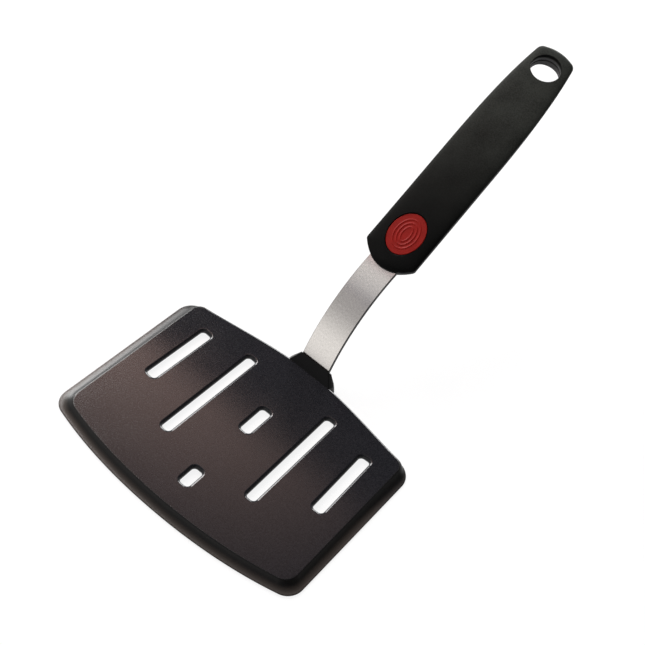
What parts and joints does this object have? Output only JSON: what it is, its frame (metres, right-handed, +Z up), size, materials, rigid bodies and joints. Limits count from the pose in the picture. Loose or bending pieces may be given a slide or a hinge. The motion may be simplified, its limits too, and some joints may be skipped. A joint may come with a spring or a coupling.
{
  "type": "slotted spatula",
  "caption": "Wide kitchen turner: flat black silicone blade with drain slots and a coved edge, on an arched steel neck and a raised black handle with a red thumb rest and hanging hole.",
  "frame": {"origin": "under the middle of the object's box, on the plane that the blade lies on", "axes": "+Z up, +Y along the object from the blade's front edge towards the handle, +X across the blade; symmetric about x = 0"},
  "size_m": [0.1394, 0.2536, 0.0939],
  "materials": {
    "silicone": "satin black silicone",
    "spring_steel": "plain rolled",
    "brushed_strip": "brushed along its length",
    "rivet_steel": "plain",
    "handle_plastic": "moulded",
    "soft_grip": "soft matt black",
    "red_insert": "matt red"
  },
  "bodies": {
    "root": {"blade_jacket": "silicone", "blade_core": "spring_steel", "neck_strip": "brushed_strip", "neck_rivet_left": "rivet_steel", "neck_rivet_right": "rivet_steel", "neck_rivet_front": "rivet_steel", "handle_core": "handle_plastic", "handle_grip": "soft_grip", "thumb_rest": "red_insert"}
  },
  "joints": []
}
